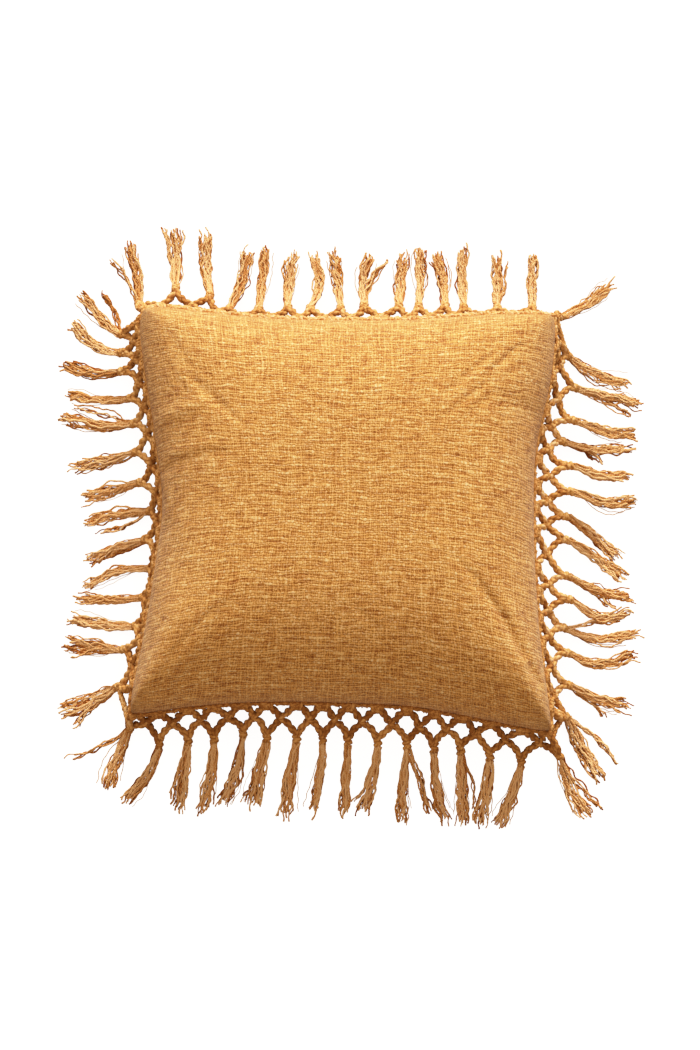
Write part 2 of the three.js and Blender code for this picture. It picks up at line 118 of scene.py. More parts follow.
# How much lighter (above 0) or darker (below 0) than its yarn each side's cord is painted, as a share of the
# yarn's range of tones: painted shade on the near and left nets, which lie in the cushion's shadow.
PAINTED_SIDE_SHADE = {"far": 0.0, "near": -0.2, "left": -0.05, "right": 0.0}
# How far along its side the net is drawn at the seam, against the tassels' heads.
SKEW = {"far": 0.0, "near": 0.0, "left": 0.0, "right": 5.0}
# Where the net turns a corner: each side with its end, 0 for its first tassel and -1 for its last, and
# how far outside and below the seam's corner the inner of its two cords passes.
CORNERS = [
    ("near", 0, "left", 0, 1, 3),
    ("far", 0, "left", -1, -6, -12),
    ("near", -1, "right", 0, 1, 3),
    ("far", -1, "right", -1, 1, 3),
]
OUTER_CORNER_CORD = {"out": 5.0, "drop": 11.0}  # how much further the outer one does

# Tassels.
HEAD_BELOW = 5.0
LOCK_HEIGHT = 5.0
TOUCHDOWN = 0.72
YARNS = 24
YARN_RADIUS = 0.95
YARN_STEPS = 32
NECK_HALF_WIDE = 4.2
WIDE_TASSEL = 15  # from this width at the tip a tassel has more locks
LOCKS = {"narrow": 4, "wide": 6}
BOWED_YARNS = 0.1  # share of the yarns that bow out of a tassel
STRAY_RADIUS = (0.3, 0.5)
# Each one's head and tip, as places along its side and out from the middle, then its bow and width.
TASSELS = {
    "far": [
        (-220, 238, -231, 303, 3, 17),
        (-181, 251, -188, 320, 2, 20),
        (-145, 243, -150, 316, -2, 14),
        (-124, 231, -106, 295, 3, 13),
        (-93, 230, -87, 297, 0, 15),
        (-62, 231, -57, 292, -1, 15),
        (-38, 230, -34, 292, 8, 12),
        (-6, 230, -13, 295, 0, 12),
        (19, 232, 24, 291, -4, 12),
        (56, 232, 60, 290, 0, 15),
        (77, 232, 79, 299, 1, 12),
        (105, 233, 98, 294, 2, 13),
        (125, 232, 124, 297, -1, 14),
        (161, 232, 162, 289, 0, 15),
        (198, 233, 200, 290, 0, 15),
        (229, 224, 281, 260, 2, 12),
    ],
    "near": [
        (-225, 219, -249, 279, -2, 16),
        (-194, 237, -228, 291, 4, 14),
        (-164, 234, -173, 302, 0, 14),
        (-137, 232, -149, 300, 2, 13),
        (-107, 226, -127, 293, 2, 16),
        (-82, 232, -94, 296, -2, 20),
        (-51, 233, -62, 304, -2, 16),
        (-24, 235, -34, 300, 1, 13),
        (2, 237, -3, 304, 0, 11),
        (33, 238, 19, 301, 2, 13),
        (63, 242, 58, 311, -2, 14),
        (91, 245, 103, 313, -3, 16),
        (119, 245, 121, 314, 1, 14),
        (149, 251, 139, 315, 1, 14),
        (182, 256, 160, 317, 1, 14),
        (221, 248, 250, 307, -3, 20),
    ],
    "left": [
        (-176, 238, -198, 295, -2, 22),
        (-137, 232, -125, 291, 1, 20),
        (-112, 220, -102, 285, -1, 16),
        (-82, 213, -80, 279, 0, 12),
        (-51, 205, -65, 271, 8, 11),
        (-20, 211, -38, 268, 3, 13),
        (11, 206, 1, 272, 5, 12),
        (41, 216, 30, 274, 1, 14),
        (74, 221, 63, 284, -1, 14),
        (105, 224, 116, 297, -3, 13),
        (133, 228, 140, 294, -1, 12),
        (162, 237, 173, 299, -3, 14),
        (183, 238, 215, 289, -5, 14),
        (204, 238, 248, 281, -2, 14),
    ],
    "right": [
        (-207, 229, -268, 265, -2, 18),
        (-175, 231, -193, 292, -2, 14),
        (-142, 230, -140, 300, -8, 13),
        (-115, 226, -117, 301, -7, 12),
        (-87, 232, -94, 295, -9, 12),
        (-61, 229, -77, 295, -3, 11),
        (-23, 229, -57, 291, 3, 14),
        (2, 229, -34, 284, 3, 12),
        (27, 233, 25, 302, -3, 13),
        (55, 234, 53, 296, -2, 12),
        (85, 228, 82, 295, -2, 9),
        (107, 238, 97, 302, -1, 12),
        (144, 241, 131, 309, 2, 12),
        (181, 235, 153, 296, -3, 16),
    ],
}
# Locks that part from a tassel: which one, then their own tip at, tip out and bow, and how many yarns.
LOOSE_LOCKS = {
    "far": [(0, -248, 288, 2, 6), (1, -176, 314, -3, 7), (8, 42, 286, -5, 11), (11, 92, 287, 6, 3),
            (13, 170, 284, 4, 3)],
    "near": [(0, -286, 247, 3, 5), (2, -184, 296, -3, 5), (5, -104, 290, 3, 6), (9, 8, 296, 3, 4),
             (10, 86, 304, 3, 11), (12, 134, 304, 5, 4), (15, 262, 298, -3, 6)],
    "left": [(0, -214, 282, 2, 8), (1, -140, 284, 4, 8), (6, -8, 262, -4, 5), (9, 128, 286, 3, 4),
             (13, 253, 260, 4, 6)],
    "right": [(0, -254, 282, 5, 7), (1, -206, 272, 3, 5), (3, -104, 288, 4, 5), (5, -90, 282, 4, 5),
              (10, 66, 270, 6, 4), (10, 74, 262, 4, 3), (12, 118, 302, 5, 5)],
}
SIDES = {
    "far": ((1, 0, 0), (0, 1, 0)),
    "near": ((1, 0, 0), (0, -1, 0)),
    "left": ((0, 1, 0), (-1, 0, 0)),
    "right": ((0, 1, 0), (1, 0, 0)),
}
UP = np.array([0.0, 0.0, 1.0])

# The view: the photograph's millimetres per pixel at the seam, and the pixel of the part's origin.
PIXEL = 1.043
IMAGE = (700, 1050)
ORIGIN_PIXEL = (346, 514)
ELEVATION = math.radians(78)
DISTANCE = 4500.0
SENSOR = 36.0
# A wide, low window beyond the far side, and an even light that keeps the floor white: where each
# shines, how many degrees wide it is, and how strong.
WINDOW = ((-0.10, -0.87, -0.33), 40, 5.7)
FLOOR_LIGHT = ((0, 0, -1), 60, 4.8)
# The pale room round it, from below to above, and how strongly it shines.
ROOM = [(0.3, "#6E5038"), (0.52, "#DCB898"), (0.7, "#FFEEDD")]
ROOM_STRENGTH = 0.67
FLOOR_HALF = 6000.0
# How bright the picture's colours come out, for places up to the brightest.
BRIGHTEST = 2.5
TONE_CURVE = [(0, 0), (0.1, 0.25), (0.2, 0.49), (0.28, 0.66), (0.4, 0.85), (0.5, 0.93), (0.6, 0.99),
              (0.7, 1.02), (1, 1.04)]

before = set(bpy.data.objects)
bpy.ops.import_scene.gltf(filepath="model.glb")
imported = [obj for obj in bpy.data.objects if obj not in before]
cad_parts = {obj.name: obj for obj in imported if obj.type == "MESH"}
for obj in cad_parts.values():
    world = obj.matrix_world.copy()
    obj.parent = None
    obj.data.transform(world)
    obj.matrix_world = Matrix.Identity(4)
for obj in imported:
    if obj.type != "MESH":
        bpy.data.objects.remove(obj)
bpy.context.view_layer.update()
rng = np.random.default_rng(SEED)


# Shapes worked out from the tables

def lerp(a, b, t):
    return a + (b - a) * t


def ease(t):
    t = np.clip(t, 0, 1)
    return t * t * (3 - 2 * t)


def smooth_along(values, t):
    """The value at share t, from -1 to 1, of a smooth curve through evenly spaced values."""
    known = np.array([2 * values[0] - values[1], *values, 2 * values[-1] - values[-2]], float)
    last = len(values) - 1
    place = np.clip((np.asarray(t) + 1) / 2 * last, 0, last)
    i = np.minimum(np.floor(place).astype(int), last - 1)
    s = place - i
    before, here, after, beyond = (known[i + k] for k in range(4))
    start, end, rise = (after - before) / 2, (beyond - here) / 2, after - here
    return here + s * (start + s * (3 * rise - 2 * start - end + s * (start + end - 2 * rise)))


def plan(share_x, share_y):
    """A point of the cushion's plan from shares of the way from the middle to the seam."""
    softer = SOFT_CORNER * (1 - share_x) * (1 + share_y) / 4
    pinch = 1 - (CORNER_PINCH + softer) * np.abs(share_x * share_y) ** CORNER_SHARPNESS
    u, v = share_x * pinch, share_y * pinch
    right_share, far_share = (u + 1) / 2, (v + 1) / 2
    far, near, left, right = (SEAM_OUT[k] for k in SIDES)
    near_x, far_x = lerp(-left[0], right[0], right_share), lerp(-left[-1], right[-1], right_share)
    left_y, right_y = lerp(-near[0], far[0], far_share), lerp(-near[-1], far[-1], far_share)
    side_x = lerp(-smooth_along(left, v), smooth_along(right, v), right_share)
    side_y = lerp(-smooth_along(near, u), smooth_along(far, u), far_share)
    left_x, right_x = lerp(-left[0], -left[-1], far_share), lerp(right[0], right[-1], far_share)
    near_y, far_y = lerp(-near[0], -near[-1], right_share), lerp(far[0], far[-1], right_share)
    x = side_x + lerp(near_x, far_x, far_share) - lerp(left_x, right_x, right_share)
    y = side_y + lerp(left_y, right_y, right_share) - lerp(near_y, far_y, far_share)
    return x, y


def seam_height(u, v):
    return SEAM_HEIGHT - CORNER_DROP * np.abs(u * v) ** DROP_SHARPNESS


def fullness(u, v):
    """How full the cushion is at a place: the lesser of its two slopes, which meet in a ridge that
    runs to each corner."""
    sides = lerp(FLATNESS["sides_at_near"], FLATNESS["sides_at_far"], ease(v))
    ends = np.where(v > 0, FLATNESS["far"], FLATNESS["near"])
    across = (1 - np.minimum(1, np.abs(u)) ** sides) ** CROWN_ROUNDNESS + 1e-9
    along = (1 - np.minimum(1, np.abs(v)) ** ends) ** CROWN_ROUNDNESS + 1e-9
    both = (across ** RIDGE_SHARPNESS + along ** RIDGE_SHARPNESS) / 2
    return across * along / both ** (1 / RIDGE_SHARPNESS)


def fold_rise(x, y):
    total = np.zeros_like(x)
    for x1, y1, x2, y2, wide, rise in FOLDS + CREASES:
        dx, dy = x2 - x1, y2 - y1
        s = np.clip(((x - x1) * dx + (y - y1) * dy) / (dx * dx + dy * dy), 0, 1)
        away = np.hypot(x - x1 - s * dx, y - y1 - s * dy) / wide
        total += rise * np.exp(-FOLD_SOFTNESS * away ** 2) * (1 - FOLD_FADE * s)
    return total


def hem_point(side, at, aside=0.0):
    """A point just outside the seam, on one side, level with a place along it."""
    far, near, left, right = (SEAM_OUT[k] for k in SIDES)
    start, end = {
        "far": (-left[-1], right[-1]),
        "near": (-left[0], right[0]),
        "left": (-near[0], far[0]),
        "right": (-near[-1], far[-1]),
    }[side]
    kept = min(max(at, start + SEAM_END), end - SEAM_END) + aside
    share = 2 * (kept - start) / (end - start) - 1
    u, v = {"far": (share, 1), "near": (share, -1), "left": (-1, share), "right": (1, share)}[side]
    x, y = plan(np.float64(u), np.float64(v))
    return np.array([x, y, seam_height(u, v)]) + SEAM_GAP * np.array(SIDES[side][1])


class Fall:
    """The cords' run down the net at one place, counted in tassels: whole numbers are tassels."""

    def __init__(self, side, index):
        rows = TASSELS[side]
        i = min(int(math.floor(index)), len(rows) - 1)
        j = min(i + 1, len(rows) - 1)
        s = index - i
        self.along, self.out = (np.array(d, float) for d in SIDES[side])
        self.at = lerp(rows[i][0], rows[j][0], s)
        self.top = hem_point(side, self.at, SKEW[side])
        foot = self.along * self.at + self.out * lerp(rows[i][1], rows[j][1], s)
        flat = math.hypot(foot[0] - self.top[0], foot[1] - self.top[1])
        drop = min(GREATEST_DROP, math.sqrt(max(0, NET_DEPTH ** 2 - flat ** 2)))
        foot[2] = self.top[2] - max(drop, LEAST_DROP)
        self.length = float(np.linalg.norm(foot - self.top))
        self.sag = NET_SAG * flat / self.length
        self.down = (foot - self.top) / self.length
        outward = np.cross(self.along, self.down)
        outward /= np.linalg.norm(outward)
        self.outward = outward if outward[2] > 0 else -outward

    def point(self, across, down, lift=0.0):
        """A point of the net, which sags between the seam and the heads."""
        share = min(max(down / self.length, 0), 1)
        sag = self.sag * math.sin(math.pi * share)
        return self.top + self.along * across + self.down * down + self.outward * (lift - sag)


# Mesh making

def mesh_piece(name, points, faces, material, uv=None, shade=None):
    """A mesh object in metres from points in millimetres and arrays of faces of several sizes. uv has a
    pair for each point of each face, in the faces' order, and shade a number for each point."""
    mesh = bpy.data.meshes.new(name)
    loops = np.concatenate([f.ravel() for f in faces]).astype(np.int32)
    sizes = np.concatenate([np.full(len(f), f.shape[1]) for f in faces])
    starts = np.concatenate([[0], np.cumsum(sizes)[:-1]]).astype(np.int32)
    mesh.vertices.add(len(points))
    mesh.vertices.foreach_set("co", (np.asarray(points) * MM).astype(np.float32).ravel())
    mesh.loops.add(len(loops))
    mesh.loops.foreach_set("vertex_index", loops)
    mesh.polygons.add(len(sizes))
    mesh.polygons.foreach_set("loop_start", starts)
    mesh.update(calc_edges=True)
    mesh.shade_smooth()
    if uv is not None:
        layer = mesh.uv_layers.new(name="run")
        layer.uv.foreach_set("vector", np.asarray(uv, np.float32).ravel())
    if shade is not None:
        attribute = mesh.attributes.new("shade", "FLOAT", "POINT")
        attribute.data.foreach_set("value", np.asarray(shade, np.float32))
    mesh.materials.append(material)
    piece = bpy.data.objects.new(name, mesh)
    bpy.context.scene.collection.objects.link(piece)
    return piece


def unit(v):
    return v / np.maximum(np.linalg.norm(v, axis=-1, keepdims=True), 1e-9)


def frames_along(paths):
    """Tangents and two crosswise directions that turn no more than the paths do."""
    tangent = unit(np.gradient(paths, axis=1))
    guess = np.where(np.abs(tangent[:, :1, 2:]) < 0.9, UP, np.array([1.0, 0, 0]))[:, 0]
    normal = np.empty_like(paths)
    normal[:, 0] = unit(np.cross(np.cross(tangent[:, 0], guess), tangent[:, 0]))
    for k in range(1, paths.shape[1]):
        carried = normal[:, k - 1] - (normal[:, k - 1] * tangent[:, k]).sum(-1, keepdims=True) * tangent[:, k]
        normal[:, k] = unit(carried)
    return tangent, normal, np.cross(tangent, normal)


def run_length(paths):
    steps = np.linalg.norm(np.diff(paths, axis=1), axis=-1)
    return np.concatenate([np.zeros((len(paths), 1)), np.cumsum(steps, axis=1)], axis=1)


class Tubes:
    """Gathers round strands of one piece, each swept along its own path."""

    def __init__(self, painted_shade=0.0):
        self.painted_shade = painted_shade
        self.points, self.quads, self.caps, self.uv, self.shades = ([] for _ in range(5))
        self.count = 0

    def add(self, paths, radius, sides, shade):
        """paths is n strands of m points, radius one number for each point of each, shade one each."""
        paths = np.asarray(paths, float)
        n, m, _ = paths.shape
        radius = np.broadcast_to(radius, (n, m))
        _, normal, side = frames_along(paths)
        turn = np.arange(sides) / sides * 2 * np.pi
        ring = normal[:, :, None] * np.cos(turn)[:, None] + side[:, :, None] * np.sin(turn)[:, None]
        points = paths[:, :, None] + ring * radius[:, :, None, None]
        index = self.count + np.arange(n * m * sides).reshape(n, m, sides)
        around = np.roll(index, -1, axis=2)
        quads = np.stack([index[:, :-1], around[:, :-1], around[:, 1:], index[:, 1:]], -1)
        run = run_length(paths)[:, :, None] * np.ones(sides)
        u = np.broadcast_to(np.arange(sides) / sides, (n, m, sides))
        corner = [(u[:, :-1], run[:, :-1]), (u[:, :-1] + 1 / sides, run[:, :-1]),
                  (u[:, 1:] + 1 / sides, run[:, 1:]), (u[:, 1:], run[:, 1:])]
        self.uv.append(np.stack([np.stack(c, -1) for c in corner], -2).reshape(-1, 2))
        self.quads.append(quads.reshape(-1, 4))
        self.caps.append(np.concatenate([index[:, 0, ::-1], index[:, -1]]))
        self.points.append(points.reshape(-1, 3))
        # Every strand's tone is shifted by the piece's own offset: painted shade on a net side that lies in
        # the cushion's shadow.
        self.shades.append(np.repeat(np.broadcast_to(shade, (n,)) + self.painted_shade, m * sides))
        self.count += n * m * sides

    def piece(self, name, material, slot):
        caps = {}
        for ends in self.caps:
            caps.setdefault(ends.shape[1], []).append(ends)
        faces = [np.concatenate(self.quads), *(np.concatenate(group) for group in caps.values())]
        # The ends need no place in the yarn's pattern.
        uv = np.concatenate([*self.uv, np.zeros((sum(ends.size for ends in self.caps), 2))])
        return mesh_piece(name, np.concatenate(self.points), faces, material, uv,
                          np.concatenate(self.shades))


def bezier(a, b, c, d, steps):
    t = np.linspace(0, 1, steps)[:, None]
    return (1 - t) ** 3 * a + 3 * (1 - t) ** 2 * t * b + 3 * (1 - t) * t ** 2 * c + t ** 3 * d


# Materials

def linear(colour):
    """An sRGB hex colour as linear red, green, blue and alpha."""
    values = [int(colour[i:i + 2], 16) / 255 for i in (1, 3, 5)]
    return (*(v / 12.92 if v <= 0.04045 else ((v + 0.055) / 1.055) ** 2.4 for v in values), 1.0)


def add_node(tree, kind, inputs=None, output=0, stops=(), **settings):
    """Adds one node and gives one of its outputs. An input is a value to set or another node's socket to
    link, and stops are a colour ramp's places with their colours."""
    node = tree.nodes.new(kind)
    for key, value in settings.items():
        setattr(node, key, value)
    for key, value in (inputs or {}).items():
        if isinstance(value, bpy.types.NodeSocket):
            tree.links.new(value, node.inputs[key])
        else:
            node.inputs[key].default_value = value
    for i, (place, colour) in enumerate(stops):
        element = node.color_ramp.elements[i] if i < 2 else node.color_ramp.elements.new(place)
        element.position = place
        element.color = linear(colour)
    return node.outputs[output]


def sums(tree, operation, *values):
    """One step of arithmetic with up to three values or sockets."""
    return add_node(tree, "ShaderNodeMath", dict(enumerate(values)), operation=operation)


def new_material(name):
    material = bpy.data.materials.new(name)
    material.use_nodes = True
    tree = material.node_tree
    return material, tree, tree.nodes["Principled BSDF"]


def finish_cotton(tree, shader, colour, bump, rough, sheen, tint, gloss):
    """Gives a cotton its colour and its relief, and says how matt it is and how its fibres glow."""
    tree.links.new(colour, shader.inputs["Base Color"])
    tree.links.new(bump, shader.inputs["Normal"])
    values = {"Roughness": rough, "Sheen Weight": sheen, "Sheen Roughness": 0.5,
              "Sheen Tint": linear(tint), "Specular IOR Level": gloss}
    for name, value in values.items():
        shader.inputs[name].default_value = value


# The cloth's threads, in millimetres from one to the next.
WEFT_PITCH = 2.75
WARP_PITCH = 2.3
ALTERNATION = 2.5  # radians from one thread to the next, in the round from thick to thin and back
# Dyes, from the darkest tone to the palest. The ramps are driven by painted shade and painted highlight as
# well as by the dye's own uneven tone, so their dark ends also serve as painted shade and the cloth's pale
# end as painted highlight.
CLOTH_TONES = [(0.3, "#8E521B"), (0.47, "#C38239"), (0.65, "#E2A558"), (0.81, "#EDBC73"), (0.91, "#F4CF92")]
TASSEL_TONES = [(0.26, "#984E18"), (0.52, "#C7813B"), (0.78, "#E2A664"), (1.0, "#EEBD82")]
NET_TONES = [(0.3, "#9C5E26"), (0.55, "#C88843"), (0.8, "#E0A862"), (1.0, "#F0C28A")]
# The kinds of node used most.
NOISE = "ShaderNodeTexNoise"
VECTOR = "ShaderNodeVectorMath"
RAMP = "ShaderNodeValToRGB"


def crowded(tree, across, along, apart, stretch, most):
    """The place across a set of threads, moved so that they crowd together at uneven distances."""
    far = sums(tree, "DIVIDE", along, stretch)
    near = sums(tree, "DIVIDE", across, apart)
    where = add_node(tree, "ShaderNodeCombineXYZ", {"X": far, "Y": near})
    uneven = add_node(tree, NOISE, {"Vector": where, "Scale": 1.0, "Detail": 1.0}, noise_dimensions="2D")
    return sums(tree, "MULTIPLY_ADD", uneven, most, across)


def thread_set(tree, across, along, pitch, stretch, own, seed):
    """One way's threads: where a point is among them, its thread's number, how high the round of the
    thread stands there, and how thick it is. own is the share of the thickness that a thread keeps all
    along it, so that every second or third one is a thick one."""
    place = sums(tree, "DIVIDE", across, pitch)
    number = sums(tree, "FLOOR", place)
    part = sums(tree, "FRACT", place)
    turn = sums(tree, "MULTIPLY", part, math.pi)
    arch = sums(tree, "SINE", turn)
    rounded = sums(tree, "POWER", arch, 0.65)
    along_it = sums(tree, "DIVIDE", along, stretch)
    apart = sums(tree, "MULTIPLY_ADD", number, 5.37, seed)
    where = add_node(tree, "ShaderNodeCombineXYZ", {"X": along_it, "Y": apart})
    slub = add_node(tree, NOISE, {"Vector": where, "Scale": 1.0, "Detail": 4.0, "Roughness": 0.8},
                    noise_dimensions="2D")
    thick = add_node(tree, "ShaderNodeMapRange",
                     {"Value": slub, "From Min": 0.26, "From Max": 0.74, "To Max": 1.0 - own})
    step = sums(tree, "MULTIPLY_ADD", number, ALTERNATION, seed)
    lot = sums(tree, "SINE", step)
    thick = sums(tree, "MULTIPLY_ADD", lot, own / 2, thick)
    thick = sums(tree, "ADD", thick, own / 2)
    return place, number, rounded, thick


def thread_top(tree, rounded, thick, least, most, own_place, other_number, dip):
    """How high one way's threads stand: thick ones more, and each dips under every second crossing."""
    crossing = sums(tree, "ADD", own_place, other_number)
    turn = sums(tree, "MULTIPLY", crossing, math.pi)
    wave = sums(tree, "SINE", turn)
    lift = sums(tree, "MULTIPLY_ADD", wave, dip, 1 - abs(dip))
    size = sums(tree, "MULTIPLY_ADD", thick, most - least, least)
    top = sums(tree, "MULTIPLY", rounded, size)
    return sums(tree, "MULTIPLY", top, lift)


def dyed_slub_cotton():
    """Loosely plain-woven cotton of uneven, thick and thin yarns, dyed in the piece: a matt, nubbly face,
    with greyer patches where thin ones lie side by side. Its colour follows the threads' relief: the high
    thread tops and the nubs where two thick yarns cross are painted pale, as painted highlights, and the
    small holes between the threads are painted dark, as painted shade."""
    material, tree, shader = new_material("dyed_slub_cotton")
    uv = add_node(tree, "ShaderNodeUVMap", uv_map="run")
    # Threads wander a little from straight, slowly and in small kinks.
    drift = add_node(tree, NOISE, {"Vector": uv, "Scale": 0.03, "Detail": 1.0}, "Color",
                     noise_dimensions="2D")
    kink = add_node(tree, NOISE, {"Vector": uv, "Scale": 0.17, "Detail": 5.0, "Roughness": 0.75}, "Color",
                    noise_dimensions="2D")
    moved = add_node(tree, VECTOR, {0: drift, 1: (4.0, 4.0, 0.0), 2: uv}, operation="MULTIPLY_ADD")
    moved = add_node(tree, VECTOR, {0: kink, 1: (4.0, 4.0, 0.0), 2: moved}, operation="MULTIPLY_ADD")
    moved_x = add_node(tree, "ShaderNodeSeparateXYZ", {"Vector": moved}, "X")
    moved_y = add_node(tree, "ShaderNodeSeparateXYZ", {"Vector": moved}, "Y")
    # They also crowd together in twos and threes, with a little more room between.
    x = crowded(tree, moved_x, moved_y, 4.2, 40.0, 3.2)
    y = crowded(tree, moved_y, moved_x, 3.4, 24.0, 3.8)
    weft_place, weft_number, weft_round, weft_thick = thread_set(tree, y, x, WEFT_PITCH, 9.0, 0.22, 3.1)
    warp_place, warp_number, warp_round, warp_thick = thread_set(tree, x, y, WARP_PITCH, 11.0, 0.3, 8.7)
    weft = thread_top(tree, weft_round, weft_thick, 0.45, 1.05, warp_place, weft_number, 0.15)
    warp = thread_top(tree, warp_round, warp_thick, 0.36, 0.84, weft_place, warp_number, -0.15)
    upper = sums(tree, "SMOOTH_MAX", weft, warp, 0.15)
    nub = sums(tree, "MULTIPLY", weft, warp)
    relief = sums(tree, "MULTIPLY_ADD", nub, 0.42, upper)
    # Greyer patches, longer than they are wide.
    patch_place = add_node(tree, VECTOR, {0: moved, 1: (0.07, 0.2, 0.0)}, operation="MULTIPLY")
    patch_noise = add_node(tree, NOISE, {"Vector": patch_place, "Scale": 1.0, "Detail": 2.0},
                           noise_dimensions="2D")
    patch = add_node(tree, "ShaderNodeMapRange", {"Value": patch_noise, "From Min": 0.52, "From Max": 0.66})
    fibre = add_node(tree, NOISE, {"Vector": uv, "Scale": 0.9, "Detail": 3.0, "Roughness": 0.7},
                     noise_dimensions="2D")
    # The colour is taken from the relief: painted highlight on the high thread tops and nubs, painted shade
    # in the low holes between the threads.
    high = sums(tree, "MULTIPLY_ADD", fibre, 0.3, relief)
    tone = sums(tree, "MULTIPLY_ADD", fibre, 0.3, high)
    tone = sums(tree, "SUBTRACT", tone, 0.325)
    colour = add_node(tree, RAMP, {"Fac": tone}, stops=CLOTH_TONES)
    tint = add_node(tree, RAMP, {"Fac": patch}, stops=[(0.0, "#FFFFFF"), (1.0, "#E8DCD2")])
    dyed = add_node(tree, "ShaderNodeMix", {0: 1.0, 6: colour, 7: tint}, 2,
                    data_type="RGBA", blend_type="MULTIPLY")
    bump = add_node(tree, "ShaderNodeBump", {"Height": high, "Strength": 1.0, "Distance": 0.0008})
    finish_cotton(tree, shader, dyed, bump, rough=0.95, sheen=0.25, tint="#FFF4E0", gloss=0.15)
    return material


def plied_cotton(name, turn, stops, depth):
    """Cotton yarn plied from softly spun singles and dyed: matt, with a slanting groove between the plies
    each turn, cut into the relief and painted darker in the colour as painted shade, which reads as a fine
    beading along it."""
    material, tree, shader = new_material(name)
    uv = add_node(tree, "ShaderNodeUVMap", uv_map="run")
    around = add_node(tree, "ShaderNodeSeparateXYZ", {"Vector": uv}, "X")
    along = add_node(tree, "ShaderNodeSeparateXYZ", {"Vector": uv}, "Y")
    turns = sums(tree, "DIVIDE", along, turn)
    slant = sums(tree, "MULTIPLY_ADD", around, 2.0, turns)
    angle = sums(tree, "MULTIPLY", slant, math.pi)
    wave = sums(tree, "SINE", angle)
    groove = sums(tree, "ABSOLUTE", wave)
    shade = add_node(tree, "ShaderNodeAttribute", output="Fac", attribute_name="shade")
    where = add_node(tree, "ShaderNodeTexCoord", output="Object")
    fibre = add_node(tree, NOISE, {"Vector": where, "Scale": 900.0, "Detail": 3.0, "Roughness": 0.7})
    # The tone adds the yarn's shade attribute, which holds its random tone and any painted shade, and then
    # painted shade in the groove between the plies.
    tone = sums(tree, "MULTIPLY_ADD", fibre, 0.35, shade)
    tone = sums(tree, "MULTIPLY_ADD", groove, 0.3, tone)
    colour = add_node(tree, RAMP, {"Fac": tone}, stops=stops)
    height = sums(tree, "MULTIPLY_ADD", fibre, 0.3, groove)
    bump = add_node(tree, "ShaderNodeBump", {"Height": height, "Strength": 0.8, "Distance": depth})
    finish_cotton(tree, shader, colour, bump, rough=0.9, sheen=0.08, tint="#F3D9A8", gloss=0.2)
    return material


def pale_floor():
    """A painted studio floor: matt, nearly white, with the faintest cloudiness."""
    material, tree, shader = new_material("pale_floor")
    where = add_node(tree, "ShaderNodeTexCoord", output="Object")
    cloudy = add_node(tree, NOISE, {"Vector": where, "Scale": 3.0})
    colour = add_node(tree, RAMP, {"Fac": cloudy}, stops=[(0.3, "#F1F0EE"), (0.7, "#F4F3F1")])
    tree.links.new(colour, shader.inputs["Base Color"])
    shader.inputs["Roughness"].default_value = 0.9
    return material


# The cushion

def arc_lengths(line):
    """Lengths along a line of points, counted from its middle."""
    run = np.concatenate([[0], np.cumsum(np.linalg.norm(np.diff(line, axis=0), axis=1))])
    return run - run[len(run) // 2]


def shares(count):
    """Steps from seam to seam, from -1 to 1, that crowd a little towards the seams."""
    s = np.linspace(-1, 1, count + 1)
    return s * (1 + EDGE_FINENESS - EDGE_FINENESS * s * s)


def cell_corners(grid):
    """The four corners of each cell of a grid."""
    return np.stack([grid[:-1, :-1], grid[:-1, 1:], grid[1:, 1:], grid[1:, :-1]], axis=2)


def panels(count):
    """The face and the back as square grids of points that share their rims."""
    u, v = np.meshgrid(shares(count), shares(count))
    x, y = plan(u, v)
    full = fullness(u, v)
    seam = seam_height(u, v)
    face = seam + CROWN_RISE * full + fold_rise(x, y) * np.minimum(1, FOLD_RELEASE * full)
    back = np.maximum(0, seam - BACK_FULLNESS * full)
    return np.stack([x, y, face], -1), np.stack([x, y, back], -1)


def cover_faces(count):
    """Quads of both panels over one list of points: the face's grid, then the back's inner points."""
    index = np.arange((count + 1) ** 2).reshape(count + 1, count + 1)
    inside = np.zeros(index.shape, bool)
    inside[1:-1, 1:-1] = True
    under = index.copy()
    under[inside] = index.size + np.arange(inside.sum())
    face, back = (cell_corners(i).reshape(-1, 4) for i in (index, under))
    return np.concatenate([face, back[:, ::-1]]), inside


def joined(face, back, inside):
    """Both panels' points as one list, the rim's once."""
    return np.concatenate([face.reshape(-1, 3), back[inside]])


def double(grid):
    """A grid of twice as many cells, with smooth in-between values."""
    for axis in (0, 1):
        g = np.moveaxis(grid, axis, 0)
        wide = np.concatenate([2 * g[:1] - g[1:2], g, 2 * g[-1:] - g[-2:-1]])
        fine = np.empty((2 * len(g) - 1, *g.shape[1:]))
        fine[::2] = g
        fine[1::2] = (9 * (wide[1:-2] + wide[2:-1]) - wide[:-3] - wide[3:]) / 16
        grid = np.moveaxis(fine, 0, axis)
    return grid


